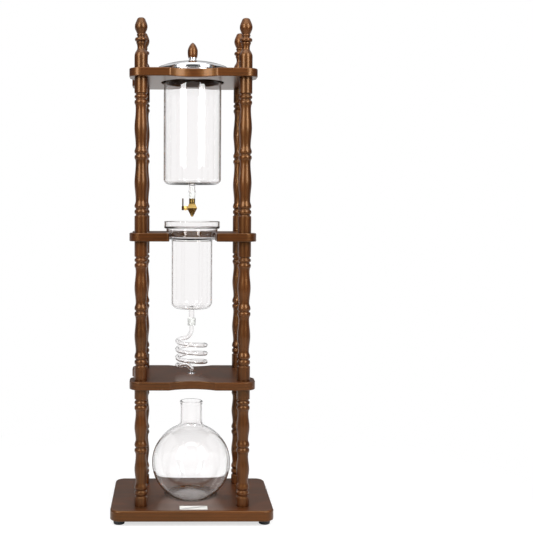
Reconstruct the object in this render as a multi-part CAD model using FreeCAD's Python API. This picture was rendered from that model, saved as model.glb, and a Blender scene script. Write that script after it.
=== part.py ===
import FreeCAD, Part
import math
import os

# Cold drip coffee tower: a turned-post wooden stand that carries a lidded water tank with
# a brass drip valve, a coffee chamber with a glass cooling coil, and a receiving flask.
# Millimetres. X to the right, Y to the rear, Z up. The origin is on the floor, under the
# middle of the base board. All glassware stands on the Z axis.

# Clearances
SEAT_GAP = 0.3      # between a lift-off piece and what it rests on
FIT_GAP = 0.1       # radial, pins and sleeves in their holes
RUN_GAP = 0.05      # radial, the valve plug in its bore
TOUCH = 0.001       # closer than this counts as the same place

# Heights of the stand, from the floor up
FOOT_H = 11.0
BASE_T = 20.0
LOWER_POST = 219.0
UPPER_POST = 279.0
SHELF_T = 15.0
FINIAL_H = 91.0

# Base board
BASE_W = 300.0
BASE_D = 210.0
BASE_CORNER = 19.0
BASE_TOP_ROUND = 4.0
BASE_LOW_ROUND = 1.5
FLASK_RECESS_D = 100.0
FLASK_RECESS_DEPTH = 4.0
RECESS_ROUND = 1.5

# Feet and the screws that hold them
FOOT_D = 23.0
FOOT_TAPER = 1.5
FOOT_EDGE = 1.0
FOOT_INSET_X = 16.0     # from the board's end to the foot's middle
FOOT_INSET_Y = 25.0
FOOT_POCKET_D = 9.0
FOOT_FLOOR = 5.0    # height of the screw's seat inside the foot
SCREW_D = 4.0
SCREW_HEAD_D = 7.6
SCREW_HEAD_H = 2.2
SCREW_HEAD_ROUND = 0.7
SCREW_GRIP = 11.0   # how far the screw goes into the board

# Shelves: four round lobes over the posts and a hollow bay in each open side
SHELF_REACH_X = 21.0    # from a post's middle to the shelf's side
SHELF_REACH_Y = 24.0    # and to its front or rear
LOBE_R = 21.0
BAY_FRONT_W = 84.0
BAY_SIDE_W = 98.0
BAY_DEPTH = 14.0
BAY_END_R = 9.0
EDGE_ROUND = 1.5
TANK_HOLE_GAP = 4.75    # from the tank's wall to the hole in the top shelf
SLOT_GAP = 3.5          # from the chamber's body to the sides of its way in
SLOT_END_R = 5.0

# Posts
POST_INSET_X = 56.0     # from the base's end to a post's middle
POST_INSET_Y = 33.0
POST_D = 24.0
LOWER_ENDS = (17.3, 19.8)   # plain lengths, bottom and top
MIDDLE_ENDS = (26.3, 28.3)
UPPER_ENDS = (30.8, 28.3)
END_ROUND = 1.1     # rounding of a plain length beside its cove
COVE_L = 3.6
COVE_DEPTH = 2.3
LOW_BEAD_L = 7.1
TOP_BEAD_L = 5.4
LIP_DROP = 0.9      # the edges of lips and beads lie this far inside the post's surface
WAIST_DROP = 2.2    # the vase's waists lie this far inside the post's surface
VASE_LIP = 3.0      # heights on the vase, from its foot
VASE_WAIST = 13.0
VASE_BELLY = 0.48   # share of its length
VASE_NECK = 14.5    # from its top
VASE_BEAD_L = 8.0
VASE_BEAD_RISE = 0.6    # the bead starts this far outside the neck

# Finials, from the foot up
FINIAL_FOOT = 22.0
FINIAL_WAIST_D = 13.6
FINIAL_OGEE_L = 15.5    # from the foot to the waist
FINIAL_FLARE_L = 6.5
FINIAL_SMALL_D = 17.6
FINIAL_SMALL_L = 4.0
FINIAL_DISC_D = 22.6
FINIAL_DISC_L = 7.6
FINIAL_NECK_D = 13.4
FINIAL_NECK_L = 2.4
FINIAL_RING_D = 15.8
FINIAL_RING_L = 4.0
FINIAL_EDGE = 0.9       # the edges of its rings lie this far inside them
EGG_D = 22.8
EGG_SIDE = ((0.8, 0.15), (1.0, 0.43), (0.7, 0.83), (0.0, 1.0))  # shares of radius and height

# Studs through the shelves, bolts up through the base
STUD_D = 6.0
STUD_GRIP = 22.0
BOLT_HEAD_D = 11.0
BOLT_HEAD_H = 4.0

# Water tank
GLASS_T = 3.0
GLASS_ROUND = 2.0   # usual rounding of the glass at a bend
GLASS_EDGE = 1.2    # and at an edge
TANK_D = 108.0
TANK_DROP = 204.4   # underside of the rim to the bottom
TANK_FLANGE = 10.0
TANK_RIM_T = 5.5
TANK_CORNER = 9.0
OUTLET_D = 11.5
OUTLET_BORE = 8.5
OUTLET_L = 15.4
OUTLET_LIP = 1.1
OUTLET_ROUND = 3.0

# Silicone plug in the outlet
PLUG_BORE = 4.9
PLUG_IN = 12.0
PLUG_L = 11.6
PLUG_EDGE = 1.0

# Brass drip valve
SPIGOT_D = 4.7
SPIGOT_IN = 20.0
COLLAR_L = 9.4
VALVE_TOP_R = 6.8   # hexagons, measured to their corners
VALVE_MID_R = 11.0
VALVE_TIP_R = 2.0
VALVE_UPPER_H = 8.2
VALVE_LOWER_H = 16.0
WATERWAY_D = 2.4
ARM_D = 7.4
ARM_REACH = 15.0
STEM_D = 5.0
STEM_IN = 4.5
GLAND_R = 4.9
GLAND_L = 3.8
CAP_D = 8.0
CAP_L = 4.2
CAP_GAP = 0.4
CAP_END_T = 1.0
CAP_EDGE = 0.6
LEVER_D = 2.5
LEVER_H = 18.5
LEVER_TIP_R = 1.1

# Lid
LID_OVERHANG = 2.5  # past the tank's rim
LID_SHEET = 1.2
LID_RISE = 18.2     # from the tank's rim to the flat at the top
LID_SHOULDER = 4.5  # width of the rounded shoulder round the dome
LID_CAP_RISE = 10.0
LID_EDGE_H = 3.8
LID_FLAT_D = 17.0
SKIRT_GAP = 1.2
SKIRT_H = 6.0
FERRULE_D = 15.6
FERRULE_H = 7.6
FERRULE_WAIST = 1.2
FERRULE_EDGE = 0.8
KNOB_FOOT_D = 16.0
KNOB_D = 18.8
KNOB_H = 28.3
KNOB_SIDE = ((1.0, 0.43), (0.8, 0.69), (0.52, 0.86), (0.0, 1.0))    # shares of radius and height
KNOB_SCREW_IN = 13.0

# Coffee chamber
CHAMBER_D = 78.0
CHAMBER_DROP = 145.0    # shelf top to the bottom
CHAMBER_CORNER = 12.0
CHAMBER_GLASS = 2.5
BOWL_FOOT_REACH = 7.6   # from the body's side out to the bowl's foot
BOWL_TOP_REACH = 9.7
COLLAR_REACH = 13.4
BOWL_ABOVE = 7.0        # the bowl's top over the shelf
BOWL_BELOW = 12.5
BOWL_SHOULDER = 3.0
BOWL_ROUND = 4.5
COLLAR_H = 13.5
NIPPLE_D = 10.5
NIPPLE_BORE = 6.5
NIPPLE_L = 25.0
NIPPLE_EDGE = 0.8

# Silicone sleeve that joins the chamber and the coil
SLEEVE_D = 15.0
SLEEVE_UP = 7.0
SLEEVE_DOWN = 7.0
SLEEVE_EDGE = 1.5
BUTT_GAP = 0.5

# Cooling coil
COIL_TUBE_D = 8.0
COIL_BORE = 5.0
COIL_D = 62.5           # outside of the turns
COIL_TURNS = 3
COIL_PITCH = 15.8
COIL_STRAIGHT = 14.0    # straight tube below the sleeve's middle
COIL_LEAD = 37.0        # tube's top end to the first turn
TIP_DROP = 7.0          # last turn to the drip tip
TIP_GAP = 8.1           # drip tip to the lower shelf
TIP_X = 1.2
TIP_Y = 0.8
TIP_L = 8.8
TIP_SLOPE = (0.62, 0.33, -0.71)
STRETCH = 3.2           # tube widths along the tube that count as one stretch

# Drip ring in the lower shelf
RING_BORE = 8.4
RING_D = 12.0
RING_LIP_D = 15.4
RING_LIP_H = 1.5
RING_EDGE = 0.7

# Receiving flask
FLASK_D = 150.0
FLASK_CENTRE = 66.0     # sphere's middle over the flat bottom
FLASK_GLASS = 2.5
FLASK_FOOT_R = 5.0
NECK_D = 41.4
NECK_ROUND = 14.0
FLASK_H = 185.0
RIM_BEAD = 1.1
RIM_H = 5.0

# Places and widths worked out from the sizes above
FOOT_X = BASE_W / 2 - FOOT_INSET_X
FOOT_Y = BASE_D / 2 - FOOT_INSET_Y
POST_X = BASE_W / 2 - POST_INSET_X
POST_Y = BASE_D / 2 - POST_INSET_Y
SHELF_W = 2 * (POST_X + SHELF_REACH_X)
SHELF_D = 2 * (POST_Y + SHELF_REACH_Y)
TANK_HOLE_D = TANK_D + 2 * TANK_HOLE_GAP
TANK_RIM_D = TANK_D + 2 * TANK_FLANGE
LID_D = TANK_RIM_D + 2 * LID_OVERHANG
LID_CAP_D = LID_D - 2 * LID_SHOULDER
SLOT_W = CHAMBER_D + 2 * SLOT_GAP
BOWL_FOOT_D = CHAMBER_D + 2 * BOWL_FOOT_REACH
BOWL_TOP_D = CHAMBER_D + 2 * BOWL_TOP_REACH
COLLAR_D = CHAMBER_D + 2 * COLLAR_REACH

# The middle posts hold the chamber and its coil clear of the lower shelf
COIL_H = COIL_LEAD + COIL_PITCH * COIL_TURNS + TIP_DROP
MIDDLE_POST = CHAMBER_DROP + NIPPLE_L + BUTT_GAP + COIL_H + TIP_GAP - SHELF_T

# Levels, from the floor up and from the shelves down
BASE_TOP = FOOT_H + BASE_T
LOWER_UNDER = BASE_TOP + LOWER_POST
LOWER_TOP = LOWER_UNDER + SHELF_T
MIDDLE_UNDER = LOWER_TOP + MIDDLE_POST
MIDDLE_TOP = MIDDLE_UNDER + SHELF_T
TOP_UNDER = MIDDLE_TOP + UPPER_POST
TOP_TOP = TOP_UNDER + SHELF_T
TANK_RIM_Z = TOP_TOP + SEAT_GAP
TANK_BOTTOM = TANK_RIM_Z - TANK_DROP
TANK_MOUTH = TANK_RIM_Z + TANK_RIM_T
OUTLET_END = TANK_BOTTOM - OUTLET_L
PLUG_END = OUTLET_END - PLUG_L
VALVE_TOP = PLUG_END - COLLAR_L
VALVE_Z = VALVE_TOP - VALVE_UPPER_H
VALVE_TIP = VALVE_Z - VALVE_LOWER_H
CHAMBER_BOTTOM = MIDDLE_TOP - CHAMBER_DROP
NIPPLE_END = CHAMBER_BOTTOM - NIPPLE_L
COIL_TOP = NIPPLE_END - BUTT_GAP
FLASK_Z = BASE_TOP - FLASK_RECESS_DEPTH + SEAT_GAP

SIDES = (("left", -1), ("right", 1))
ENDS = (("front", -1), ("rear", 1))
UP = FreeCAD.Vector(0, 0, 1)
INWARD = FreeCAD.Vector(-1, 0, 0)


def vec(x, y, z):
    return FreeCAD.Vector(x, y, z)


def save(node, shape):
    shape.exportStep(os.path.join("parts", node + ".step"))


def corners(x, y):
    """The four corner places, as (name, x, y)."""
    return [(end + "_" + side, sx * x, sy * y) for end, sy in ENDS for side, sx in SIDES]


def rod(radius, z0, z1, x=0.0, y=0.0):
    return Part.makeCylinder(radius, z1 - z0, vec(x, y, z0))


def cross_rod(radius, x0, x1, z):
    return Part.makeCylinder(radius, x1 - x0, vec(x0, 0, z), vec(1, 0, 0))


def arc(a, middle, b):
    return Part.Arc(a, middle, b).toShape()


def rounded_wire(points):
    """Closed wire in the XZ plane through (x, z, corner radius) points."""
    count = len(points)
    runs = []
    for i, (x, z, radius) in enumerate(points):
        here = vec(x, 0, z)
        if radius == 0:
            runs.append((here, None, here))
            continue
        before = vec(points[i - 1][0], 0, points[i - 1][1])
        after = vec(points[(i + 1) % count][0], 0, points[(i + 1) % count][1])
        u = (before - here).normalize()
        w = (after - here).normalize()
        half = u.getAngle(w) / 2
        bisector = (u + w).normalize()
        reach = radius / math.tan(half)
        middle = here + bisector * (radius / math.sin(half) - radius)
        runs.append((here + u * reach, middle, here + w * reach))
    edges = []
    for i, (start, middle, end) in enumerate(runs):
        if middle is not None:
            edges.append(arc(start, middle, end))
        edges.append(Part.makeLine(end, runs[(i + 1) % count][0]))
    return Part.Wire(edges)


def turned(wire):
    """Solid turned about the Z axis from a closed wire in the XZ plane."""
    return Part.Face(wire).revolve(vec(0, 0, 0), UP, 360)


def turned_points(points):
    return turned(rounded_wire(points))


def hexagon(radius, z):
    """Hexagon with a corner towards the front."""
    points = []
    for i in range(7):
        angle = math.radians(-90 + 60 * i)
        points.append(vec(radius * math.cos(angle), radius * math.sin(angle), z))
    return Part.makePolygon(points)


def upright_edges(shape):
    found = []
    for edge in shape.Edges:
        if len(edge.Vertexes) == 2:
            a, b = edge.Vertexes[0].Point, edge.Vertexes[1].Point
            if abs(a.x - b.x) < TOUCH and abs(a.y - b.y) < TOUCH:
                found.append(edge)
    return found


def level_edges(shape, z):
    """Edges that lie flat at height z."""
    found = []
    for edge in shape.Edges:
        box = edge.BoundBox
        if abs(box.ZMin - z) < TOUCH and abs(box.ZMax - z) < TOUCH:
            found.append(edge)
    return found


# Base board and feet

def base_board():
    board = Part.makeBox(BASE_W, BASE_D, BASE_T, vec(-BASE_W / 2, -BASE_D / 2, FOOT_H))
    board = board.makeFillet(BASE_CORNER, upright_edges(board))
    board = board.makeFillet(BASE_TOP_ROUND, level_edges(board, BASE_TOP))
    board = board.makeFillet(BASE_LOW_ROUND, level_edges(board, FOOT_H))
    floor = BASE_TOP - FLASK_RECESS_DEPTH
    recess_r = FLASK_RECESS_D / 2
    recess = turned_points([
        (0, floor, 0),
        (recess_r, floor, RECESS_ROUND),
        (recess_r, BASE_TOP + BASE_T, 0),
        (0, BASE_TOP + BASE_T, 0),
    ])
    board = board.cut(recess)
    for _, x, y in corners(POST_X, POST_Y):
        board = board.cut(rod(STUD_D / 2 + FIT_GAP, FOOT_H, BASE_TOP, x, y))
        board = board.cut(rod(BOLT_HEAD_D / 2 + FIT_GAP, FOOT_H, FOOT_H + BOLT_HEAD_H, x, y))
    for _, x, y in corners(FOOT_X, FOOT_Y):
        board = board.cut(rod(SCREW_D / 2 + FIT_GAP, FOOT_H, FOOT_H + SCREW_GRIP + FIT_GAP, x, y))
    return board


def foot():
    hole = SCREW_D / 2 + FIT_GAP
    pocket = FOOT_POCKET_D / 2
    top = FOOT_D / 2
    return turned_points([
        (hole, FOOT_FLOOR, 0),
        (pocket, FOOT_FLOOR, 0),
        (pocket, 0, 0),
        (top - FOOT_TAPER, 0, FOOT_EDGE),
        (top, FOOT_H, 0),
        (hole, FOOT_H, 0),
    ])


def foot_screw():
    head = rod(SCREW_HEAD_D / 2, FOOT_FLOOR - SCREW_HEAD_H, FOOT_FLOOR)
    head = head.makeFillet(SCREW_HEAD_ROUND, level_edges(head, FOOT_FLOOR - SCREW_HEAD_H))
    return head.fuse(rod(SCREW_D / 2, FOOT_FLOOR, FOOT_H + SCREW_GRIP)).removeSplitter()


def base_bolt():
    top = BASE_TOP + STUD_GRIP
    head = rod(BOLT_HEAD_D / 2, FOOT_H, FOOT_H + BOLT_HEAD_H)
    return head.fuse(rod(STUD_D / 2, FOOT_H + BOLT_HEAD_H, top)).removeSplitter()


# Shelves

def bay_cutter(width, reach, z, along_x):
    """Upright cylinder that hollows one side of a shelf."""
    radius = (width ** 2 / 4 + BAY_DEPTH ** 2) / (2 * BAY_DEPTH)
    away = reach + radius - BAY_DEPTH
    x, y = (away, 0) if along_x else (0, away)
    return [rod(radius, z, z + SHELF_T, sign * x, sign * y) for sign in (-1, 1)]


def round_outline(shape):
    """Round the shelf's lobes, the ends of its bays and the mouth of its slot."""
    for edge in upright_edges(shape):
        x, y = abs(edge.Vertexes[0].X), abs(edge.Vertexes[0].Y)
        at_side = abs(x - SHELF_W / 2) < TOUCH
        at_end = abs(y - SHELF_D / 2) < TOUCH
        if at_side and at_end:
            yield edge, LOBE_R
        elif at_end and abs(x - SLOT_W / 2) < TOUCH:
            yield edge, SLOT_END_R
        elif at_side or at_end:
            yield edge, BAY_END_R


def shelf(under, openings, front_bay=True):
    """Shelf board with the cutters in openings taken out."""
    board = Part.makeBox(SHELF_W, SHELF_D, SHELF_T, vec(-SHELF_W / 2, -SHELF_D / 2, under))
    front, rear = bay_cutter(BAY_FRONT_W, SHELF_D / 2, under, False)
    cutters = bay_cutter(BAY_SIDE_W, SHELF_W / 2, under, True) + [rear] + openings
    if front_bay:
        cutters.append(front)
    for cutter in cutters:
        board = board.cut(cutter)
    for radius in (LOBE_R, BAY_END_R, SLOT_END_R):
        chosen = [edge for edge, r in round_outline(board) if r == radius]
        if chosen:
            board = board.makeFillet(radius, chosen)
    rims = level_edges(board, under) + level_edges(board, under + SHELF_T)
    board = board.makeFillet(EDGE_ROUND, rims)
    for _, x, y in corners(POST_X, POST_Y):
        board = board.cut(rod(STUD_D / 2 + FIT_GAP, under, under + SHELF_T, x, y))
    return board


def bowl_radius(z):
    """Outer radius of the chamber's tapered bowl at height z."""
    foot_z = MIDDLE_TOP - BOWL_BELOW
    share = (z - foot_z) / (BOWL_ABOVE + BOWL_BELOW)
    return (BOWL_FOOT_D + (BOWL_TOP_D - BOWL_FOOT_D) * share) / 2


def middle_openings():
    seat = bowl_radius(MIDDLE_TOP - EDGE_ROUND) + SEAT_GAP
    slot = Part.makeBox(SLOT_W, SHELF_D / 2, SHELF_T, vec(-SLOT_W / 2, -SHELF_D / 2, MIDDLE_UNDER))
    return [rod(seat, MIDDLE_UNDER, MIDDLE_TOP).fuse(slot).removeSplitter()]


def studs(z0, z1):
    return Part.Compound([rod(STUD_D / 2, z0, z1, x, y) for _, x, y in corners(POST_X, POST_Y)])


# Turned posts

class Turning:
    """Outline of a turned piece, drawn upwards from its foot."""

    def __init__(self, radius):
        self.point = vec(radius, 0, 0)
        self.edges = [Part.makeLine(vec(0, 0, 0), self.point)]

    def curve(self, steps, first=None, last=None):
        """Smooth curve through (radius, rise) steps; it runs upright at waists and bellies.

        first and last are its directions at the two ends, where those matter.
        """
        start = self.point
        places = [start] + [vec(r, 0, start.z + rise) for r, rise in steps]
        directions = [first]
        for before, here, after in zip(places, places[1:], places[2:]):
            turns_back = (before.x - here.x) * (after.x - here.x) > 0
            directions.append(UP if turns_back else None)
        directions.append(last)
        fixed = [direction is not None for direction in directions]
        tangents = [direction or UP for direction in directions]
        spline = Part.BSplineCurve()
        spline.interpolate(Points=places, Tangents=tangents, TangentFlags=fixed)
        self.edges.append(spline.toShape())
        self.point = places[-1]

    def plain(self, length):
        end = self.point + vec(0, 0, length)
        self.edges.append(Part.makeLine(self.point, end))
        self.point = end

    def rounding(self, size, outwards):
        """Quarter round between a plain length and the cove beside it."""
        start = self.point
        swing = math.sin(math.pi / 4)
        if outwards:
            middle = start + vec(size * swing, 0, size * (1 - swing))
            end = start + vec(size, 0, size)
        else:
            middle = start + vec(size * (swing - 1), 0, size * swing)
            end = start + vec(-size, 0, size)
        self.edges.append(arc(start, middle, end))
        self.point = end

    def bulge(self, length, radius, end_radius):
        """Arc whose middle is at the given radius: a bead or a cove."""
        start = self.point
        end = vec(end_radius, 0, start.z + length)
        self.edges.append(arc(start, vec(radius, 0, start.z + length / 2), end))
        self.point = end

    def solid(self, bore, bore_depth, both_ends):
        top = vec(0, 0, self.point.z)
        closing = []
        if self.point.x > TOUCH:
            closing.append(Part.makeLine(self.point, top))
        closing.append(Part.makeLine(top, vec(0, 0, 0)))
        shape = turned(Part.Wire(self.edges + closing))
        shape = shape.cut(rod(bore, 0, bore_depth))
        if both_ends:
            shape = shape.cut(rod(bore, top.z - bore_depth, top.z))
        return shape


def side(shares, radius, height):
    """Steps of a curve from (share of radius, share of height) pairs."""
    return [(radius * across, height * up) for across, up in shares]


def cove(turning, end_radius):
    turning.bulge(COVE_L, POST_D / 2 - COVE_DEPTH, end_radius)


def vase(turning, length):
    """Slim vase: a flared lip, a waist, a belly, a neck and a bead."""
    full = POST_D / 2
    waist = full - WAIST_DROP
    turning.curve([
        (full, VASE_LIP),
        (waist, VASE_WAIST),
        (full, length * VASE_BELLY),
        (waist, length - VASE_NECK),
        (waist + VASE_BEAD_RISE, length - VASE_BEAD_L),
    ])
    turning.bulge(VASE_BEAD_L, full, full - LIP_DROP)


def spindle(length, ends):
    """Two vases between plain ends, each end set off by a bead between two coves."""
    full = POST_D / 2
    lip = full - LIP_DROP
    fixed = sum(ends) + 5 * COVE_L + LOW_BEAD_L + TOP_BEAD_L
    vase_length = (length - fixed) / 2
    post = Turning(full)
    post.plain(ends[0] - END_ROUND)
    post.rounding(END_ROUND, False)
    cove(post, lip)
    post.bulge(LOW_BEAD_L, full, lip)
    cove(post, lip)
    vase(post, vase_length)
    cove(post, lip)
    vase(post, vase_length)
    cove(post, lip)
    post.bulge(TOP_BEAD_L, full, lip)
    cove(post, full - END_ROUND)
    post.rounding(END_ROUND, True)
    post.plain(ends[1] - END_ROUND)
    return post.solid(STUD_D / 2 + FIT_GAP, STUD_GRIP + FIT_GAP, True)


def finial():
    """Plain foot, ogee, small ring, disc, neck, ring and egg."""
    waist = FINIAL_WAIST_D / 2
    small = FINIAL_SMALL_D / 2
    ring = FINIAL_RING_D / 2
    cap = Turning(POST_D / 2)
    cap.plain(FINIAL_FOOT)
    flare_end = (small - FINIAL_EDGE, FINIAL_OGEE_L + FINIAL_FLARE_L)
    cap.curve([(waist, FINIAL_OGEE_L), flare_end], first=UP)
    cap.bulge(FINIAL_SMALL_L, small, small - FINIAL_EDGE)
    cap.bulge(FINIAL_DISC_L, FINIAL_DISC_D / 2, ring - FINIAL_EDGE)
    cap.bulge(FINIAL_NECK_L, FINIAL_NECK_D / 2, ring - FINIAL_EDGE)
    cap.bulge(FINIAL_RING_L, ring, ring - FINIAL_EDGE)
    cap.curve(side(EGG_SIDE, EGG_D / 2, FINIAL_H - cap.point.z), last=INWARD)
    return cap.solid(STUD_D / 2 + FIT_GAP, STUD_GRIP + FIT_GAP, False)


# Water tank and its outlet

def water_tank():
    outer = TANK_D / 2
    inner = outer - GLASS_T
    outlet = OUTLET_D / 2
    lip = outlet + OUTLET_LIP
    bore = OUTLET_BORE / 2
    rim = TANK_RIM_D / 2
    return turned_points([
        (bore, OUTLET_END, 0),
        (lip, OUTLET_END, OUTLET_LIP),
        (lip, OUTLET_END + 3 * OUTLET_LIP, OUTLET_LIP / 2),
        (outlet, OUTLET_END + 4 * OUTLET_LIP, 0),
        (outlet, TANK_BOTTOM, OUTLET_ROUND),
        (outer, TANK_BOTTOM, TANK_CORNER),
        (outer, TANK_RIM_Z, GLASS_ROUND),
        (rim, TANK_RIM_Z, GLASS_EDGE),
        (rim, TANK_MOUTH, GLASS_ROUND),
        (inner, TANK_MOUTH, GLASS_ROUND),
        (inner, TANK_BOTTOM + GLASS_T, TANK_CORNER - GLASS_T),
        (bore, TANK_BOTTOM + GLASS_T, GLASS_ROUND),
    ])


def tank_plug():
    wide = OUTLET_D / 2
    slim = OUTLET_BORE / 2 - FIT_GAP
    bore = PLUG_BORE / 2
    return turned_points([
        (bore, PLUG_END, 0),
        (wide, PLUG_END, PLUG_EDGE),
        (wide, OUTLET_END, 0),
        (slim, OUTLET_END, 0),
        (slim, OUTLET_END + PLUG_IN, PLUG_EDGE),
        (bore, OUTLET_END + PLUG_IN, 0),
    ])


# Drip valve

def valve_body():
    upper = Part.makeLoft([hexagon(VALVE_MID_R, VALVE_Z), hexagon(VALVE_TOP_R, VALVE_TOP)], True, True)
    lower = Part.makeLoft([hexagon(VALVE_TIP_R, VALVE_TIP), hexagon(VALVE_MID_R, VALVE_Z)], True, True)
    collar = rod(OUTLET_D / 2, VALVE_TOP, PLUG_END)
    spigot = rod(SPIGOT_D / 2, PLUG_END, PLUG_END + SPIGOT_IN)
    arm = cross_rod(ARM_D / 2, -ARM_REACH, 0, VALVE_Z)
    body = upper.fuse([lower, collar, spigot, arm])
    body = body.cut(rod(WATERWAY_D / 2, VALVE_TIP, PLUG_END + SPIGOT_IN))
    return body.cut(cross_rod(STEM_D / 2 + RUN_GAP, -ARM_REACH, STEM_IN + RUN_GAP, VALVE_Z))


def valve_gland():
    """Hexagon nut round the end of the arm."""
    nut = Part.Face(hexagon(GLAND_R, 0)).extrude(vec(0, 0, GLAND_L))
    nut = nut.cut(rod(ARM_D / 2 + FIT_GAP, 0, GLAND_L))
    nut.rotate(vec(0, 0, 0), vec(0, 1, 0), 90)
    nut.translate(vec(-ARM_REACH, 0, VALVE_Z))
    return nut


def cap_ends():
    near = -ARM_REACH - CAP_GAP
    return near - CAP_L, near


def valve_stem():
    """Plug with a cross hole that lines up with the waterway when the lever stands up."""
    stem = cross_rod(STEM_D / 2, cap_ends()[0] + CAP_END_T, STEM_IN, VALVE_Z)
    return stem.cut(rod(WATERWAY_D / 2, VALVE_Z - STEM_D, VALVE_Z + STEM_D))


def lever_place():
    return (cap_ends()[0] + cap_ends()[1]) / 2


def valve_cap():
    far, near = cap_ends()
    cap = cross_rod(CAP_D / 2, far, near, VALVE_Z)
    rims = [e for e in cap.Edges if e.BoundBox.XLength < TOUCH]
    cap = cap.makeFillet(CAP_EDGE, rims)
    cap = cap.cut(cross_rod(STEM_D / 2 + RUN_GAP, far + CAP_END_T - RUN_GAP, near, VALVE_Z))
    socket = rod(LEVER_D / 2 + RUN_GAP, VALVE_Z + STEM_D / 2, VALVE_Z + CAP_D, lever_place())
    return cap.cut(socket)


def valve_lever():
    foot_z = STEM_D / 2 + 2 * RUN_GAP
    lever = turned_points([
        (0, foot_z, 0),
        (LEVER_D / 2, foot_z, 0),
        (LEVER_D / 2, LEVER_H, LEVER_TIP_R),
        (0, LEVER_H, 0),
    ])
    lever.translate(vec(lever_place(), 0, VALVE_Z))
    return lever


# Lid

def lid_line(offset):
    """Arcs of the dome, the given distance inside its outer face."""
    top = TANK_MOUTH + LID_RISE
    flat = LID_FLAT_D / 2
    cap = LID_CAP_D / 2
    reach = cap - flat
    radius = (reach ** 2 + LID_CAP_RISE ** 2) / (2 * LID_CAP_RISE)
    slope = math.asin(reach / radius)
    edge = LID_D / 2
    shoulder_z = TANK_MOUTH + SEAT_GAP + LID_EDGE_H

    def on_cap(angle):
        r = radius - offset
        return vec(flat + r * math.sin(angle), 0, top - radius + r * math.cos(angle))

    cap_end = on_cap(slope)
    low = vec(edge - offset, 0, shoulder_z)
    lean = vec(math.cos(slope), 0, -math.sin(slope))
    knee = cap_end + lean * ((low.x - cap_end.x) / lean.x)
    middle = (cap_end + low + knee * 2) * 0.25
    return vec(flat, 0, top - offset), on_cap(slope / 2), cap_end, middle, low


def lid_dome():
    hole = SCREW_D / 2 + FIT_GAP
    under = TANK_MOUTH + SEAT_GAP
    plug = TANK_D / 2 - GLASS_T - SKIRT_GAP
    flat, mid, cap_end, shoulder, low = lid_line(0)
    in_flat, in_mid, in_cap_end, in_shoulder, in_low = lid_line(LID_SHEET)
    inside = [
        vec(low.x, 0, under),
        vec(plug, 0, under),
        vec(plug, 0, under - SKIRT_H),
        vec(plug - LID_SHEET, 0, under - SKIRT_H),
        vec(plug - LID_SHEET, 0, under + LID_SHEET),
        vec(in_low.x, 0, under + LID_SHEET),
        in_low,
    ]
    top_hole = vec(hole, 0, flat.z)
    low_hole = vec(hole, 0, in_flat.z)
    edges = [Part.makeLine(top_hole, flat), arc(flat, mid, cap_end), arc(cap_end, shoulder, low)]
    for a, b in zip([low] + inside, inside):
        edges.append(Part.makeLine(a, b))
    edges += [arc(in_low, in_shoulder, in_cap_end), arc(in_cap_end, in_mid, in_flat)]
    edges += [Part.makeLine(in_flat, low_hole), Part.makeLine(low_hole, top_hole)]
    return turned(Part.Wire(edges))


def lid_ferrule(z):
    hole = SCREW_D / 2 + FIT_GAP
    wide = FERRULE_D / 2
    return turned_points([
        (hole, z, 0),
        (wide, z, FERRULE_EDGE),
        (wide - FERRULE_WAIST, z + FERRULE_H / 2, FERRULE_WAIST),
        (wide, z + FERRULE_H, 0),
        (hole, z + FERRULE_H, 0),
    ])


def lid_knob(z):
    knob = Turning(KNOB_FOOT_D / 2)
    knob.curve(side(KNOB_SIDE, KNOB_D / 2, KNOB_H))
    shape = knob.solid(SCREW_D / 2 + FIT_GAP, KNOB_SCREW_IN + FIT_GAP, False)
    shape.translate(vec(0, 0, z))
    return shape


def lid_screw(seat, top):
    head = rod(SCREW_HEAD_D / 2, seat - SCREW_HEAD_H, seat)
    head = head.makeFillet(SCREW_HEAD_ROUND, level_edges(head, seat - SCREW_HEAD_H))
    return head.fuse(rod(SCREW_D / 2, seat, top)).removeSplitter()


# Coffee chamber

def coffee_chamber():
    body = CHAMBER_D / 2
    bore = NIPPLE_BORE / 2
    inner = body - CHAMBER_GLASS
    bowl_top_z = MIDDLE_TOP + BOWL_ABOVE
    bowl_foot_z = MIDDLE_TOP - BOWL_BELOW
    mouth_z = bowl_top_z + COLLAR_H
    collar = COLLAR_D / 2
    shoulder_z = bowl_foot_z - BOWL_SHOULDER
    return turned_points([
        (bore, NIPPLE_END, 0),
        (NIPPLE_D / 2, NIPPLE_END, NIPPLE_EDGE),
        (NIPPLE_D / 2, CHAMBER_BOTTOM, OUTLET_ROUND),
        (body, CHAMBER_BOTTOM, CHAMBER_CORNER),
        (body, shoulder_z, GLASS_ROUND),
        (BOWL_FOOT_D / 2, bowl_foot_z, BOWL_ROUND),
        (BOWL_TOP_D / 2, bowl_top_z, GLASS_EDGE),
        (collar, bowl_top_z, GLASS_EDGE),
        (collar, mouth_z, GLASS_EDGE),
        (collar - GLASS_T, mouth_z, GLASS_EDGE),
        (collar - GLASS_T, bowl_top_z + CHAMBER_GLASS, GLASS_ROUND),
        (BOWL_TOP_D / 2 - CHAMBER_GLASS, bowl_top_z + GLASS_EDGE, GLASS_ROUND),
        (BOWL_FOOT_D / 2 - CHAMBER_GLASS, bowl_foot_z + CHAMBER_GLASS, BOWL_ROUND - CHAMBER_GLASS),
        (inner, shoulder_z + CHAMBER_GLASS, GLASS_ROUND),
        (inner, CHAMBER_BOTTOM + CHAMBER_GLASS, CHAMBER_CORNER - CHAMBER_GLASS),
        (bore, CHAMBER_BOTTOM + CHAMBER_GLASS, GLASS_ROUND),
    ])


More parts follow.
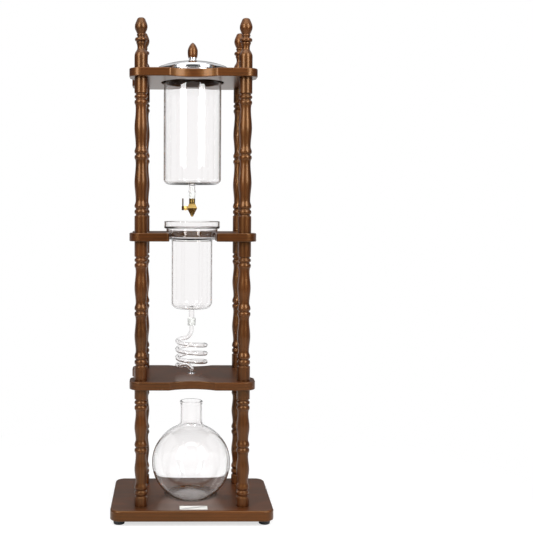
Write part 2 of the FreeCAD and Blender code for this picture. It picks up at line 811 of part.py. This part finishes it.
def coil_sleeve():
    outer = SLEEVE_D / 2
    wide = NIPPLE_D / 2 + FIT_GAP
    slim = COIL_TUBE_D / 2 + FIT_GAP
    low = COIL_TOP - SLEEVE_DOWN
    high = NIPPLE_END + SLEEVE_UP
    return turned_points([
        (slim, low, 0),
        (outer, low, SLEEVE_EDGE),
        (outer, high, SLEEVE_EDGE),
        (wide, high, 0),
        (wide, NIPPLE_END, 0),
        (slim, COIL_TOP, 0),
    ])


# Cooling coil

def arc_from(start, direction, end):
    """Arc that leaves start in the given direction and ends at end, with its last direction."""
    chord = end - start
    turn = direction.getAngle(chord)
    if turn < 0.0001:
        return Part.makeLine(start, end), direction
    side = chord - direction * chord.dot(direction)
    side.normalize()
    radius = chord.Length / (2 * math.sin(turn))
    centre = start + side * radius
    middle = centre - side * (radius * math.cos(turn)) + direction * (radius * math.sin(turn))
    last = direction * math.cos(2 * turn) + side * math.sin(2 * turn)
    return arc(start, middle, end), last


def biarc(start, leaving, end, arriving):
    """Two arcs that meet smoothly, from one point and direction to another."""
    gap = end - start
    both = leaving + arriving
    spread = 2 * (1 - leaving.dot(arriving))
    along = gap.dot(both)
    reach = (math.sqrt(along ** 2 + spread * gap.dot(gap)) - along) / spread
    joint = (start + leaving * reach + end - arriving * reach) * 0.5
    first, meeting = arc_from(start, leaving, joint)
    second, _ = arc_from(joint, meeting, end)
    return [first, second]


def coil_point(turn):
    """Point and direction on the coil after the given number of turns, from the left."""
    radius = (COIL_D - COIL_TUBE_D) / 2
    angle = math.pi + 2 * math.pi * turn
    z = COIL_TOP - COIL_LEAD - COIL_PITCH * turn
    point = vec(radius * math.cos(angle), radius * math.sin(angle), z)
    fall = -COIL_PITCH / (2 * math.pi)
    direction = vec(-radius * math.sin(angle), radius * math.cos(angle), fall)
    return point, direction.normalize()


def coil_path():
    """Straight inlet, the lead out to the first turn, the turns, and the drip end."""
    top = vec(0, 0, COIL_TOP)
    bend = vec(0, 0, COIL_TOP - COIL_STRAIGHT)
    down = vec(0, 0, -1)
    point, direction = coil_point(0)
    edges = [Part.makeLine(top, bend)] + biarc(bend, down, point, direction)
    for quarter in range(1, 4 * COIL_TURNS + 1):
        nxt, nxt_direction = coil_point(quarter / 4)
        edges += biarc(point, direction, nxt, nxt_direction)
        point, direction = nxt, nxt_direction
    slope = vec(*TIP_SLOPE).normalize()
    tip = vec(TIP_X, TIP_Y, point.z - TIP_DROP)
    bend = tip - slope * TIP_L
    edges += biarc(point, direction, bend, slope)
    edges.append(Part.makeLine(bend, tip))
    return Part.Wire(edges)


def swept_tube(path, diameter):
    start = path.Vertexes[0].Point
    circle = Part.Wire([Part.makeCircle(diameter / 2, start, vec(0, 0, -1))])
    sweep = Part.BRepOffsetAPI.MakePipeShell(path)
    sweep.add(circle)
    sweep.build()
    sweep.makeSolid()
    return sweep.shape()


def least_gap(path):
    """Smallest free distance between stretches of the tube that aren't neighbours."""
    step = COIL_TUBE_D / 4
    count = int(path.Length / step)
    places = path.discretize(count)
    far = int(COIL_TUBE_D * STRETCH / step)
    best = COIL_D
    for i, a in enumerate(places):
        for b in places[i + far:]:
            best = min(best, a.distanceToPoint(b))
    return best - COIL_TUBE_D


def cooling_coil():
    path = coil_path()
    tube = swept_tube(path, COIL_TUBE_D)
    bore = swept_tube(path, COIL_BORE)
    coil = tube.cut(bore)
    section = math.pi * (COIL_TUBE_D ** 2 - COIL_BORE ** 2) / 4
    print("coil: length %.1f mm, least gap to itself %.2f mm" % (path.Length, least_gap(path)))
    print("coil: volume over section times length %.4f" % (coil.Volume / (section * path.Length)))
    return coil


def drip_ring():
    bore = RING_BORE / 2
    return turned_points([
        (bore, LOWER_UNDER, 0),
        (RING_D / 2, LOWER_UNDER, 0),
        (RING_D / 2, LOWER_TOP, 0),
        (RING_LIP_D / 2, LOWER_TOP, 0),
        (RING_LIP_D / 2, LOWER_TOP + RING_LIP_H, RING_EDGE),
        (bore, LOWER_TOP + RING_LIP_H, RING_EDGE),
    ])


# Receiving flask

def flask_outline(inset):
    """Points of the flask's side at a distance inside its outer face: foot, sphere, neck."""
    ball = FLASK_D / 2 - inset
    neck = NECK_D / 2 - inset
    round_r = NECK_ROUND + inset
    centre = FLASK_Z + FLASK_CENTRE
    corner = NECK_D / 2 + NECK_ROUND
    lift = math.sqrt((FLASK_D / 2 + NECK_ROUND) ** 2 - corner ** 2)
    corner_z = centre + lift
    lean = math.atan2(corner, lift)
    join = vec(ball * math.sin(lean), 0, centre + ball * math.cos(lean))
    half = (lean + math.pi / 2) / 2
    middle = vec(corner - round_r * math.sin(half), 0, corner_z - round_r * math.cos(half))
    neck_foot = vec(neck, 0, corner_z)
    floor = FLASK_Z + inset
    foot_r = FLASK_FOOT_R
    reach = math.sqrt((ball - foot_r) ** 2 - (centre - floor - foot_r) ** 2)
    foot_centre = vec(reach, 0, floor + foot_r)
    low = math.atan2(reach, centre - foot_centre.z)
    foot_end = vec(ball * math.sin(low), 0, centre - ball * math.cos(low))
    foot_mid = foot_centre + vec(math.sin(low / 2), 0, -math.cos(low / 2)) * foot_r
    equator = vec(ball, 0, centre)
    return vec(0, 0, floor), vec(reach, 0, floor), foot_mid, foot_end, equator, join, middle, neck_foot


def flask_side(points):
    """Edges from the flask's axis along its floor, foot, ball and neck round."""
    axis, foot_start, foot_mid, foot_end, equator, join, middle, neck_foot = points
    return [
        Part.makeLine(axis, foot_start),
        arc(foot_start, foot_mid, foot_end),
        arc(foot_end, equator, join),
        arc(join, middle, neck_foot),
    ]


def receiving_flask():
    outer = flask_outline(0)
    inner = flask_outline(FLASK_GLASS)
    mouth = FLASK_Z + FLASK_H
    out_r = NECK_D / 2
    in_r = out_r - FLASK_GLASS
    bead = out_r + RIM_BEAD
    rim = [
        outer[-1],
        vec(out_r, 0, mouth - RIM_H - RIM_BEAD),
        vec(bead, 0, mouth - RIM_H),
        vec(bead, 0, mouth - RIM_BEAD),
        vec(bead - RIM_BEAD, 0, mouth),
        vec(in_r + RIM_BEAD / 2, 0, mouth),
        vec(in_r, 0, mouth - RIM_BEAD),
        inner[-1],
    ]
    edges = flask_side(outer)
    for a, b in zip(rim, rim[1:]):
        edges.append(Part.makeLine(a, b))
    edges += flask_side(inner)[::-1]
    edges.append(Part.makeLine(inner[0], outer[0]))
    return turned(Part.Wire(edges))


def copies(shape, x, y):
    """The shape at each of four corners, as (name, shape)."""
    placed = []
    for name, px, py in corners(x, y):
        piece = shape.copy()
        piece.translate(vec(px, py, 0))
        placed.append((name, piece))
    return placed


def stand():
    save("base_board", base_board())
    for name, piece in copies(foot(), FOOT_X, FOOT_Y):
        save("rubber_foot_" + name, piece)
    save("foot_screws", Part.Compound([p for _, p in copies(foot_screw(), FOOT_X, FOOT_Y)]))
    save("base_bolts", Part.Compound([p for _, p in copies(base_bolt(), POST_X, POST_Y)]))
    ring_hole = rod(RING_D / 2 + FIT_GAP, LOWER_UNDER, LOWER_TOP)
    tank_hole = rod(TANK_HOLE_D / 2, TOP_UNDER, TOP_TOP)
    save("lower_shelf", shelf(LOWER_UNDER, [ring_hole]))
    save("middle_shelf", shelf(MIDDLE_UNDER, middle_openings(), front_bay=False))
    save("top_shelf", shelf(TOP_UNDER, [tank_hole]))
    levels = (
        ("lower", BASE_TOP, LOWER_POST, LOWER_ENDS),
        ("middle", LOWER_TOP, MIDDLE_POST, MIDDLE_ENDS),
        ("upper", MIDDLE_TOP, UPPER_POST, UPPER_ENDS),
    )
    for level, z, length, ends in levels:
        post = spindle(length, ends)
        post.translate(vec(0, 0, z))
        for name, piece in copies(post, POST_X, POST_Y):
            save(level + "_spindle_" + name, piece)
    cap = finial()
    cap.translate(vec(0, 0, TOP_TOP))
    for name, piece in copies(cap, POST_X, POST_Y):
        save("finial_" + name, piece)
    for level, under in (("lower", LOWER_UNDER), ("middle", MIDDLE_UNDER), ("top", TOP_UNDER)):
        save(level + "_shelf_studs", studs(under - STUD_GRIP, under + SHELF_T + STUD_GRIP))
    save("drip_ring", drip_ring())


def glassware():
    save("water_tank", water_tank())
    save("tank_plug", tank_plug())
    save("valve_body", valve_body())
    save("valve_gland", valve_gland())
    save("valve_stem", valve_stem())
    save("valve_cap", valve_cap())
    save("valve_lever", valve_lever())
    lid_top = TANK_MOUTH + LID_RISE
    save("lid_dome", lid_dome())
    save("lid_ferrule", lid_ferrule(lid_top))
    save("lid_knob", lid_knob(lid_top + FERRULE_H))
    save("lid_screw", lid_screw(lid_top - LID_SHEET, lid_top + FERRULE_H + KNOB_SCREW_IN))
    save("coffee_chamber", coffee_chamber())
    save("coil_sleeve", coil_sleeve())
    save("cooling_coil", cooling_coil())
    save("receiving_flask", receiving_flask())


os.makedirs("parts", exist_ok=True)
stand()
glassware()
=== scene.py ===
import math
import bpy
from mathutils import Matrix, Vector


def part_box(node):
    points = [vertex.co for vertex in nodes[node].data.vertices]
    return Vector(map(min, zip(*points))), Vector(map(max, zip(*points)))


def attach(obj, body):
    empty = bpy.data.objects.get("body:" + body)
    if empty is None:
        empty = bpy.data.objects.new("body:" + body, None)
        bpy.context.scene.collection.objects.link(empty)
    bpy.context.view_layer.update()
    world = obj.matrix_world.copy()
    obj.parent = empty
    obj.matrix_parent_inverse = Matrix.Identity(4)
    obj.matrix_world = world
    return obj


# Cold drip coffee tower. Metres, in the frame's own places: X to the right, Y to the rear, Z up.

MM = 0.001

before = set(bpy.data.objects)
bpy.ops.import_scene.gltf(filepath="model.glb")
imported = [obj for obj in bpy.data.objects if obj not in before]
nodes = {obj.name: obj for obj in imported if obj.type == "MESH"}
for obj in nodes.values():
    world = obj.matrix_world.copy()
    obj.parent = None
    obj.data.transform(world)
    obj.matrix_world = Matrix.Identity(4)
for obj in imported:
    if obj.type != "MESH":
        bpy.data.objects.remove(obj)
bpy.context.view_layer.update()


# Shader maths

class Number:
    """A number in a shader. Arithmetic on it adds Math nodes."""

    def __init__(self, sheet, socket):
        self.sheet = sheet
        self.socket = socket

    def math(self, operation, *values):
        made = self.sheet.add("ShaderNodeMath", {"operation": operation}, dict(enumerate(values)))
        return Number(self.sheet, made.outputs[0])

    def __add__(self, other):
        return self.math("ADD", self, other)

    def __sub__(self, other):
        return self.math("SUBTRACT", self, other)

    def __rsub__(self, other):
        return self.math("SUBTRACT", other, self)

    def __mul__(self, other):
        return self.math("MULTIPLY", self, other)

    def __pow__(self, other):
        return self.math("POWER", self, other)

    __radd__ = __add__
    __rmul__ = __mul__

    def sine(self):
        return self.math("SINE", self)

    def between(self, low, high):
        """0 below low, 1 above high, smooth between them."""
        made = self.sheet.add(
            "ShaderNodeMapRange",
            {"interpolation_type": "SMOOTHSTEP"},
            {"Value": self, "From Min": low, "From Max": high},
        )
        return Number(self.sheet, made.outputs["Result"])


class Sheet:
    """Node sheet of one material or of the world."""

    def __init__(self, owner):
        self.owner = owner
        owner.use_nodes = True
        self.tree = owner.node_tree
        self.tree.nodes.clear()

    def add(self, kind, settings=None, sockets=None):
        """Add a node: its settings first, then the values or links of its sockets."""
        made = self.tree.nodes.new(kind)
        for name, value in (settings or {}).items():
            setattr(made, name, value)
        for key, value in (sockets or {}).items():
            if isinstance(value, Number):
                value = value.socket
            if isinstance(value, bpy.types.NodeSocket):
                self.tree.links.new(value, made.inputs[key])
            else:
                made.inputs[key].default_value = value
        return made

    def place(self, scale=(1, 1, 1), shift=(0, 0, 0)):
        """Object coordinates, shifted and then scaled."""
        start = self.add("ShaderNodeTexCoord").outputs["Object"]
        moved = self.add("ShaderNodeVectorMath", {"operation": "ADD"}, {0: start, 1: shift})
        scaled = self.add("ShaderNodeVectorMath", {"operation": "MULTIPLY"}, {0: moved.outputs[0], 1: scale})
        return scaled.outputs[0]

    def noise(self, vector, scale, detail=2.0, roughness=0.5):
        made = self.add(
            "ShaderNodeTexNoise",
            None,
            {"Vector": vector, "Scale": scale, "Detail": detail, "Roughness": roughness},
        )
        return Number(self, made.outputs["Fac"])

    def mix(self, share, first, second):
        """Colour between two colours."""
        made = self.add("ShaderNodeMix", {"data_type": "RGBA"}, {0: share, 6: first, 7: second})
        return made.outputs[2]

    def bump(self, height, distance):
        made = self.add("ShaderNodeBump", None, {"Height": height, "Distance": distance, "Strength": 1.0})
        return made.outputs["Normal"]

    def blend(self, share, first, second):
        """Shader between two shaders."""
        return self.add("ShaderNodeMixShader", None, {0: share, 1: first, 2: second}).outputs[0]

    def diffuse(self, level):
        return self.add("ShaderNodeBsdfDiffuse", None, {"Color": grey(level)}).outputs[0]

    def emission(self, strength):
        return self.add("ShaderNodeEmission", None, {"Strength": strength}).outputs[0]

    def looked_at(self):
        """1 for what the camera sees, by itself or through glass, and 0 for other rays."""
        ray = self.add("ShaderNodeLightPath")
        straight = Number(self, ray.outputs["Is Camera Ray"])
        return straight.math("MAXIMUM", straight, ray.outputs["Is Transmission Ray"])

    def mirrored(self):
        """1 for what shiny pieces mirror."""
        return Number(self, self.add("ShaderNodeLightPath").outputs["Is Glossy Ray"])

    def principled(self, **sockets):
        names = {key.replace("_", " ").title().replace("Ior", "IOR"): v for key, v in sockets.items()}
        return self.add("ShaderNodeBsdfPrincipled", None, names).outputs["BSDF"]

    def finish(self, shader):
        kind = "World" if isinstance(self.owner, bpy.types.World) else "Material"
        self.add("ShaderNodeOutput" + kind, None, {"Surface": shader})
        return self.owner


def new_sheet(name):
    return Sheet(bpy.data.materials.new(name))


def linear(value):
    """Linear level of one 0 to 255 value, by the sRGB curve."""
    share = value / 255
    return share / 12.92 if share <= 0.04045 else ((share + 0.055) / 1.055) ** 2.4


def rgb(red, green, blue):
    """Linear colour from the 0 to 255 values of a swatch."""
    return (linear(red), linear(green), linear(blue), 1.0)


def grey(level):
    """Neutral linear colour."""
    return (level, level, level, 1.0)


def darker(colour, share):
    return tuple(share * c for c in colour[:3]) + (1.0,)


RING_W = 5.5 * MM           # width of a growth ring in the timber
HOLLOW_REACH = 10 * MM      # how near a neighbour makes a hollow, where shade is painted darker into the wood
PORE_DEPTH = 0.06 * MM


def stained_wood(name, along, pith, dark, light):
    """Walnut-stained timber with its grain along one axis ("X" or "Z"), and painted shade that darkens its
    hollows.
    """
    sheet = new_sheet(name)
    lengthwise = {"X": (1, 0, 0), "Z": (0, 0, 1)}[along]

    def stretched(across, down):
        return tuple(down if axis else across for axis in lengthwise)

    fibre = sheet.noise(sheet.place(stretched(620, 11)), 1.0, 4.0, 0.6)
    pores = sheet.noise(sheet.place(stretched(1500, 45)), 1.0, 2.0, 0.5)
    blotch = sheet.noise(sheet.place(stretched(26, 7)), 1.0, 3.0, 0.55)
    warp = sheet.noise(sheet.place(stretched(34, 3)), 1.0, 2.0, 0.5)
    across = sheet.add(
        "ShaderNodeVectorMath", {"operation": "LENGTH"}, {0: sheet.place(stretched(1, 0.06), pith)}
    )
    radius = Number(sheet, across.outputs["Value"])
    rings = (radius * (2 * math.pi / RING_W) + warp * 9.0).sine() * 0.5 + 0.5
    tone = rings * 0.1 + fibre * 0.4 + blotch * 0.5
    colour = sheet.mix(tone.between(0.2, 0.85), dark, light)
    pore_mask = pores.between(0.62, 0.78) * 0.4
    pore_and_shade_tone = darker(dark, 0.3)
    # Painted shade: the colour turns darker in hollows near other parts, where shade falls; the same dark
    # tone also colours the pores.
    hollow = sheet.add("ShaderNodeAmbientOcclusion", {"samples": 6}, {"Distance": HOLLOW_REACH})
    painted_hollow_shade = 1.0 - Number(sheet, hollow.outputs["AO"]).between(0.25, 0.8)
    colour = sheet.mix(pore_mask, colour, pore_and_shade_tone)
    colour = sheet.mix(painted_hollow_shade * 0.85, colour, pore_and_shade_tone)
    height = fibre * 0.5 - pore_mask
    shader = sheet.principled(
        base_color=colour,
        roughness=0.3 + fibre * 0.1,
        specular_ior_level=0.65,
        specular_tint=rgb(255, 190, 120),
        coat_weight=0.12,
        coat_roughness=0.12,
        normal=sheet.bump(height, PORE_DEPTH),
    )
    return sheet.finish(shader)


SHADOW_PASS = 0.93          # share of the light that glass lets through to what lies behind it


def clear_glass(name, tint, edge_shade):
    """Clear borosilicate glass with painted shade that turns it grey at its edges; light passes through it.
    """
    sheet = new_sheet(name)
    facing = Number(sheet, sheet.add("ShaderNodeLayerWeight", None, {"Blend": 0.5}).outputs["Facing"])
    # Painted shade: the glass's colour turns grey where it is seen edge-on.
    colour = sheet.mix(facing ** 5.0, tint, edge_shade)
    glass = sheet.principled(base_color=colour, roughness=0.0, ior=1.42, transmission_weight=1.0)
    shadow = sheet.add("ShaderNodeLightPath").outputs["Is Shadow Ray"]
    clear = sheet.add("ShaderNodeBsdfTransparent", None, {"Color": grey(SHADOW_PASS)}).outputs[0]
    return sheet.finish(sheet.blend(shadow, glass, clear))


def milky_silicone(name):
    sheet = new_sheet(name)
    cloud = sheet.noise(sheet.place(), 160.0, 3.0)
    shader = sheet.principled(
        base_color=sheet.mix(cloud, rgb(214, 216, 214), rgb(236, 237, 234)),
        roughness=0.42 + cloud * 0.1,
        ior=1.41,
        transmission_weight=0.45,
    )
    return sheet.finish(shader)


def metal(name, dark, light, rough, grain=900.0):
    sheet = new_sheet(name)
    wear = sheet.noise(sheet.place(), 55.0, 3.0)
    fine = sheet.noise(sheet.place(), grain, 2.0)
    shader = sheet.principled(
        base_color=sheet.mix(wear, dark, light),
        metallic=1.0,
        roughness=rough + wear * 0.06 + fine * 0.03,
        normal=sheet.bump(fine, 0.004 * MM),
    )
    return sheet.finish(shader)


def rubber(name, colour):
    sheet = new_sheet(name)
    fine = sheet.noise(sheet.place(), 1800.0, 2.0)
    shader = sheet.principled(
        base_color=sheet.mix(fine, darker(colour, 0.7), colour),
        roughness=0.72 + fine * 0.1,
        normal=sheet.bump(fine, 0.05 * MM),
    )
    return sheet.finish(shader)


def plate_finish(name):
    sheet = new_sheet(name)
    fine = sheet.noise(sheet.place((1, 30, 1)), 90.0, 2.0)
    shader = sheet.principled(
        base_color=sheet.mix(fine, rgb(206, 204, 200), rgb(228, 226, 222)),
        metallic=0.2,
        roughness=0.4 + fine * 0.15,
    )
    return sheet.finish(shader)


WALNUT_DARK = rgb(28, 12, 5)
WALNUT_LIGHT = rgb(76, 38, 15)
post_wood = stained_wood("turned_walnut", "Z", (0.21, 0.13, 0), WALNUT_DARK, WALNUT_LIGHT)
board_wood = stained_wood("board_walnut", "X", (0, 0.05, 0.17), WALNUT_DARK, WALNUT_LIGHT)
glass = clear_glass("borosilicate_glass", rgb(253, 252, 252), rgb(88, 92, 92))
silicone = milky_silicone("milky_silicone")
steel = metal("polished_steel", rgb(196, 197, 200), rgb(214, 214, 215), 0.09)
hardware = metal("zinc_plated_steel", rgb(150, 150, 152), rgb(186, 186, 188), 0.28)
brass = metal("polished_brass", rgb(196, 152, 74), rgb(232, 200, 128), 0.12)
dark_brass = metal("aged_brass", rgb(62, 44, 26), rgb(104, 74, 40), 0.26)
foot_rubber = rubber("foot_rubber", rgb(52, 54, 56))
plate = plate_finish("blank_plate")

FINISHES = {
    "base_board": board_wood,
    "lower_shelf": board_wood,
    "middle_shelf": board_wood,
    "top_shelf": board_wood,
    "lid_knob": post_wood,
    "water_tank": glass,
    "coffee_chamber": glass,
    "cooling_coil": glass,
    "receiving_flask": glass,
    "tank_plug": silicone,
    "coil_sleeve": silicone,
    "lid_dome": steel,
    "lid_ferrule": steel,
    "drip_ring": steel,
    "valve_body": brass,
    "valve_gland": brass,
    "valve_stem": brass,
    "valve_cap": dark_brass,
    "valve_lever": dark_brass,
}
FAMILIES = {"spindle": post_wood, "finial": post_wood, "rubber_foot": foot_rubber}


def finish_of(name):
    if name in FINISHES:
        return FINISHES[name]
    for family, material in FAMILIES.items():
        if family in name:
            return material
    return hardware


for name, node in nodes.items():
    node.data.materials.clear()
    node.data.materials.append(finish_of(name))


# Blank label plate on the base board

PLATE_W, PLATE_D, PLATE_T = 51 * MM, 18.5 * MM, 1 * MM
PLATE_PLACE = Vector((2.9 * MM, -87.8 * MM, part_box("base_board")[1][2] + PLATE_T / 2))
PLATE_CORNER = 1 * MM
PLATE_BORDER = 1.2 * MM
PLATE_SINK = 0.3 * MM


def choose(piece, kind, test):
    """Select only the vertices, edges or faces that pass the test, in edit mode."""
    bpy.ops.object.mode_set(mode="EDIT")
    bpy.ops.mesh.select_mode(type=kind)
    bpy.ops.mesh.select_all(action="DESELECT")
    bpy.ops.object.mode_set(mode="OBJECT")
    parts = {"EDGE": piece.data.edges, "FACE": piece.data.polygons}[kind]
    for part in parts:
        part.select = test([piece.data.vertices[i].co for i in part.vertices])
    bpy.ops.object.mode_set(mode="EDIT")


def blank_plate(finish):
    """Plain plate with a raised border."""
    bpy.ops.mesh.primitive_cube_add(size=1, location=(0, 0, 0))
    piece = bpy.context.object
    piece.name = "blank_plate"
    piece.scale = (PLATE_W, PLATE_D, PLATE_T)
    bpy.ops.object.transform_apply(location=True, rotation=True, scale=True)
    choose(piece, "EDGE", lambda ends: abs(ends[0].z - ends[1].z) > PLATE_T / 2)
    bpy.ops.mesh.bevel(offset=PLATE_CORNER, segments=4)
    choose(piece, "FACE", lambda points: min(point.z for point in points) > 0)
    bpy.ops.mesh.inset(thickness=PLATE_BORDER)
    bpy.ops.mesh.inset(thickness=PLATE_SINK)
    bpy.ops.transform.translate(value=(0, 0, -PLATE_SINK))
    bpy.ops.object.mode_set(mode="OBJECT")
    bpy.ops.transform.translate(value=PLATE_PLACE)
    bpy.ops.object.transform_apply(location=True, rotation=True, scale=True)
    piece.data.materials.append(finish)
    return piece


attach(blank_plate(plate), "stand")


# Camera, at the photograph's own place and angle

FRAME_W, FRAME_H = 533, 542
FOCAL = 926.42                      # in pixels of the frame
CENTRE_X = 184.498
CAMERA_PLACE = Vector((-39.065, -1755.36, 575.368)) * MM
PITCH, YAW, ROLL = (math.radians(a) for a in (-3.7227, -0.8213, -0.2094))
SENSOR = 36.0

bpy.ops.object.camera_add()
camera = bpy.context.object
turn = Matrix.Rotation(YAW, 3, "Z") @ Matrix.Rotation(PITCH, 3, "X") @ Matrix.Rotation(ROLL, 3, "Y")
right, forward, up = turn.col[0], turn.col[1], turn.col[2]
camera.matrix_world = Matrix((right, up, -forward)).transposed().to_4x4()
camera.location = CAMERA_PLACE
camera.data.sensor_width = SENSOR
camera.data.lens = FOCAL * SENSOR / FRAME_H
camera.data.shift_x = (FRAME_W / 2 - CENTRE_X) / FRAME_H
camera.data.clip_end = 50.0
bpy.context.scene.camera = camera


# Light

TOWER_MIDDLE = Vector((0, 0, 0.45))


def softbox(name, azimuth, height, distance, width, tall, power):
    """Upright area lamp that faces the tower's middle. Azimuth 0 is the front."""
    bpy.ops.object.light_add(type="AREA")
    lamp = bpy.context.object
    lamp.name = name
    lamp.data.shape = "RECTANGLE"
    lamp.data.size = width
    lamp.data.size_y = tall
    lamp.data.energy = power
    angle = math.radians(azimuth)
    lamp.location = (distance * math.sin(angle), -distance * math.cos(angle), height)
    aim = TOWER_MIDDLE - lamp.location
    lamp.rotation_euler = aim.to_track_quat("-Z", "Y").to_euler()


SIDE_AZIMUTH = 38
SIDE_HEIGHT = 1.32
SIDE_AWAY = 1.6
SIDE_POWER = 36
softbox("left_softbox", -SIDE_AZIMUTH, SIDE_HEIGHT, SIDE_AWAY, 0.72, 1.3, SIDE_POWER)
softbox("right_softbox", SIDE_AZIMUTH, SIDE_HEIGHT, SIDE_AWAY, 0.72, 1.3, SIDE_POWER)
softbox("top_softbox", 0, 2.1, 0.4, 1.2, 1.2, 14)

FILL = 0.1              # level of the soft light from all round
GLOSS_LOW = 0.1         # what shiny pieces mirror at the level of the eye
GLOSS_HIGH = 0.95       # and overhead


def studio(name):
    """White to the camera, dim to all else, and bright overhead in what mirrors it."""
    world = bpy.data.worlds.new(name)
    sheet = Sheet(world)
    seen = sheet.looked_at()
    outlook = sheet.add("ShaderNodeTexCoord").outputs["Generated"]
    height = Number(sheet, sheet.add("ShaderNodeSeparateXYZ", None, {0: outlook}).outputs["Z"])
    gloss = GLOSS_LOW + height.between(0.2, 0.6) * (GLOSS_HIGH - GLOSS_LOW)
    level = FILL + seen * (1 - FILL) + sheet.mirrored() * (1 - seen) * (gloss - FILL)
    background = sheet.add("ShaderNodeBackground", None, {"Color": grey(1), "Strength": level})
    sheet.finish(background.outputs[0])
    return world


bpy.context.scene.world = studio("studio")

FLOOR_SIDE = 40
FADE = (0.3, 0.75)          # distance over which the near floor turns white
REAR_FADE = (0.3, 0.8)      # and, in what mirrors it, the floor behind the tower


def pale_floor(name):
    """Keeps the tower's shadow near by, and is plain white further off."""
    sheet = new_sheet(name)
    near = sheet.add("ShaderNodeAddShader", None, {0: sheet.diffuse(0.42), 1: sheet.emission(0.68)})
    spot = sheet.place()
    away = sheet.add("ShaderNodeVectorMath", {"operation": "LENGTH"}, {0: spot}).outputs["Value"]
    shown = sheet.blend(Number(sheet, away).between(*FADE), near.outputs[0], sheet.emission(1.0))
    depth = Number(sheet, sheet.add("ShaderNodeSeparateXYZ", None, {0: spot}).outputs["Y"])
    seen = sheet.looked_at()
    share = seen.math("MAXIMUM", seen, sheet.mirrored() * depth.between(*REAR_FADE))
    return sheet.finish(sheet.blend(share, sheet.diffuse(0.8), shown))


bpy.ops.mesh.primitive_plane_add(size=FLOOR_SIDE, location=(0, 0, 0))
floor = bpy.context.object
floor.name = "floor"
floor.data.materials.append(pale_floor("pale_floor"))

bpy.context.scene.view_settings.view_transform = "Standard"
